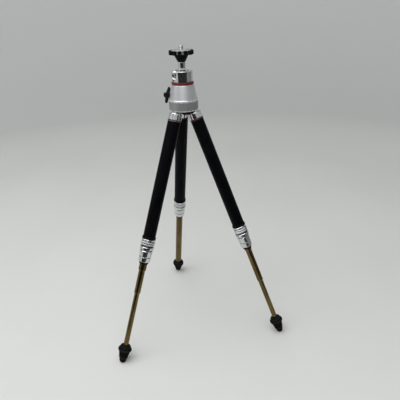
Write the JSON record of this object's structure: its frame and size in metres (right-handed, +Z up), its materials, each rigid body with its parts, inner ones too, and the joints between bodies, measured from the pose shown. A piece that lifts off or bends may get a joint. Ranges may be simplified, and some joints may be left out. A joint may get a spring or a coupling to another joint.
{
  "type": "camera tripod",
  "caption": "Compact tabletop tripod with ball head, side clamp screw, folding twist-lock legs and telescoping brass sections on rubber feet.",
  "frame": {"origin": "on the floor, at the middle of the footprint's bounding box; the head axis stands 34.5 mm in front of it, at -Y", "axes": "+Z up along the head axis, +Y towards the rear leg, +X to the right of the object"},
  "size_m": [0.256, 0.2252, 0.4296],
  "materials": {
    "black_plastic": "matte",
    "black_enamel": "semi gloss",
    "black_metal": "satin",
    "chrome": "polished",
    "satin_silver": "satin",
    "steel": "plain",
    "brass": "tarnished",
    "red_fibre": "matte",
    "dark_red": "matte",
    "rubber": "matte"
  },
  "bodies": {
    "head": {"housing": "satin_silver", "leg_hub": "black_plastic", "hub_screw_1": "steel", "hub_screw_2": "steel", "hub_screw_3": "steel", "friction_ring": "red_fibre", "set_screw": "black_metal", "leg_pin_rear": "steel", "leg_pin_left": "steel", "leg_pin_right": "steel"},
    "clamp": {"clamp_pad": "brass"},
    "wing": {"wing_screw": "black_metal"},
    "socket": {"ball_socket": "chrome", "pan_washer": "steel", "pan_screw": "steel", "cup_spring": "steel"},
    "cup": {"friction_cup": "black_plastic"},
    "stem": {"ball_stem": "chrome", "camera_stud": "chrome"},
    "seat": {"seat_plate": "satin_silver"},
    "star": {"star_nut": "black_plastic"},
    "leg_rear": {"leg_cap_rear": "chrome", "leg_ring_rear": "dark_red", "leg_tube_rear": "black_enamel", "lock_body_rear": "chrome", "lock_collet_rear": "brass"},
    "sleeve_rear": {"lock_sleeve_rear": "chrome", "lock_wiper_rear": "black_plastic"},
    "upper_brass_rear": {"brass_tube_1_rear": "brass"},
    "middle_brass_rear": {"brass_tube_2_rear": "brass"},
    "lower_brass_rear": {"brass_tube_3_rear": "brass", "foot_rear": "rubber"},
    "leg_left": {"leg_cap_left": "chrome", "leg_ring_left": "dark_red", "leg_tube_left": "black_enamel", "lock_body_left": "chrome", "lock_collet_left": "brass"},
    "sleeve_left": {"lock_sleeve_left": "chrome", "lock_wiper_left": "black_plastic"},
    "upper_brass_left": {"brass_tube_1_left": "brass"},
    "middle_brass_left": {"brass_tube_2_left": "brass"},
    "lower_brass_left": {"brass_tube_3_left": "brass", "foot_left": "rubber"},
    "leg_right": {"leg_cap_right": "chrome", "leg_ring_right": "dark_red", "leg_tube_right": "black_enamel", "lock_body_right": "chrome", "lock_collet_right": "brass"},
    "sleeve_right": {"lock_sleeve_right": "chrome", "lock_wiper_right": "black_plastic"},
    "upper_brass_right": {"brass_tube_1_right": "brass"},
    "middle_brass_right": {"brass_tube_2_right": "brass"},
    "lower_brass_right": {"brass_tube_3_right": "brass", "foot_right": "rubber"}
  },
  "joints": [
    {"name": "clamp_travel", "type": "slide", "parent": "head", "child": "clamp", "axis": [-0.866, 0.5, 0], "range_m": [0, 0.00105]},
    {"name": "wing_turn", "type": "hinge", "parent": "clamp", "child": "wing", "pos_m": [-0.01732, -0.02454, 0.367], "axis": [-0.866, 0.5, 0], "range_deg": [0, 540]},
    {"name": "head_pan", "type": "hinge", "parent": "head", "child": "socket", "pos_m": [0, -0.03454, 0.38], "axis": [0, 0, 1], "continuous": true},
    {"name": "ball_side_tilt", "type": "hinge", "parent": "socket", "child": "cup", "pos_m": [0, -0.03454, 0.3923], "axis": [-0.9336, -0.3584, 0], "range_deg": [-15, 15]},
    {"name": "ball_slot_tilt", "type": "hinge", "parent": "cup", "child": "stem", "pos_m": [0, -0.03454, 0.3923], "axis": [0.3584, -0.9336, 0], "range_deg": [-15, 90]},
    {"name": "seat_lift", "type": "slide", "parent": "stem", "child": "seat", "axis": [0, 0, 1], "range_m": [0, 0.00254]},
    {"name": "star_turn", "type": "hinge", "parent": "seat", "child": "star", "pos_m": [0, -0.03454, 0.42], "axis": [0, 0, 1], "range_deg": [0, 720]},
    {"name": "fold_rear", "type": "hinge", "parent": "head", "child": "leg_rear", "pos_m": [0, -0.02234, 0.3505], "axis": [-1, 0, 0], "range_deg": [0, 20.6]},
    {"name": "lock_turn_rear", "type": "hinge", "parent": "leg_rear", "child": "sleeve_rear", "pos_m": [0, 0.04803, 0.16329], "axis": [0, 0.3518, -0.9361], "range_deg": [0, 90]},
    {"name": "upper_slide_rear", "type": "slide", "parent": "leg_rear", "child": "upper_brass_rear", "axis": [0, 0.3518, -0.9361], "range_m": [-0.1232, 0.0065]},
    {"name": "middle_slide_rear", "type": "slide", "parent": "upper_brass_rear", "child": "middle_brass_rear", "axis": [0, 0.3518, -0.9361], "range_m": [0, 0.1465]},
    {"name": "lower_slide_rear", "type": "slide", "parent": "middle_brass_rear", "child": "lower_brass_rear", "axis": [0, 0.3518, -0.9361], "range_m": [0, 0.1435]},
    {"name": "fold_left", "type": "hinge", "parent": "head", "child": "leg_left", "pos_m": [-0.01057, -0.04063, 0.3505], "axis": [0.5, -0.866, 0], "range_deg": [0, 20.6]},
    {"name": "lock_turn_left", "type": "hinge", "parent": "leg_left", "child": "sleeve_left", "pos_m": [-0.07151, -0.07582, 0.16329], "axis": [-0.3047, -0.1759, -0.9361], "range_deg": [0, 90]},
    {"name": "upper_slide_left", "type": "slide", "parent": "leg_left", "child": "upper_brass_left", "axis": [-0.3047, -0.1759, -0.9361], "range_m": [-0.0084, 0.1213]},
    {"name": "middle_slide_left", "type": "slide", "parent": "upper_brass_left", "child": "middle_brass_left", "axis": [-0.3047, -0.1759, -0.9361], "range_m": [-0.0339, 0.1126]},
    {"name": "lower_slide_left", "type": "slide", "parent": "middle_brass_left", "child": "lower_brass_left", "axis": [-0.3047, -0.1759, -0.9361], "range_m": [-0.0809, 0.0626]},
    {"name": "fold_right", "type": "hinge", "parent": "head", "child": "leg_right", "pos_m": [0.01057, -0.04063, 0.3505], "axis": [0.5, 0.866, 0], "range_deg": [0, 20.6]},
    {"name": "lock_turn_right", "type": "hinge", "parent": "leg_right", "child": "sleeve_right", "pos_m": [0.07151, -0.07582, 0.16329], "axis": [0.3047, -0.1759, -0.9361], "range_deg": [0, 90]},
    {"name": "upper_slide_right", "type": "slide", "parent": "leg_right", "child": "upper_brass_right", "axis": [0.3047, -0.1759, -0.9361], "range_m": [-0.0021, 0.1276]},
    {"name": "middle_slide_right", "type": "slide", "parent": "upper_brass_right", "child": "middle_brass_right", "axis": [0.3047, -0.1759, -0.9361], "range_m": [-0.0532, 0.0933]},
    {"name": "lower_slide_right", "type": "slide", "parent": "middle_brass_right", "child": "lower_brass_right", "axis": [0.3047, -0.1759, -0.9361], "range_m": [-0.0679, 0.0756]}
  ],
  "couplings": [
    {"joint": "clamp_travel", "follows": "wing_turn", "m_per_rad": 0.00011141},
    {"joint": "seat_lift", "follows": "star_turn", "m_per_rad": 0.00020213}
  ]
}
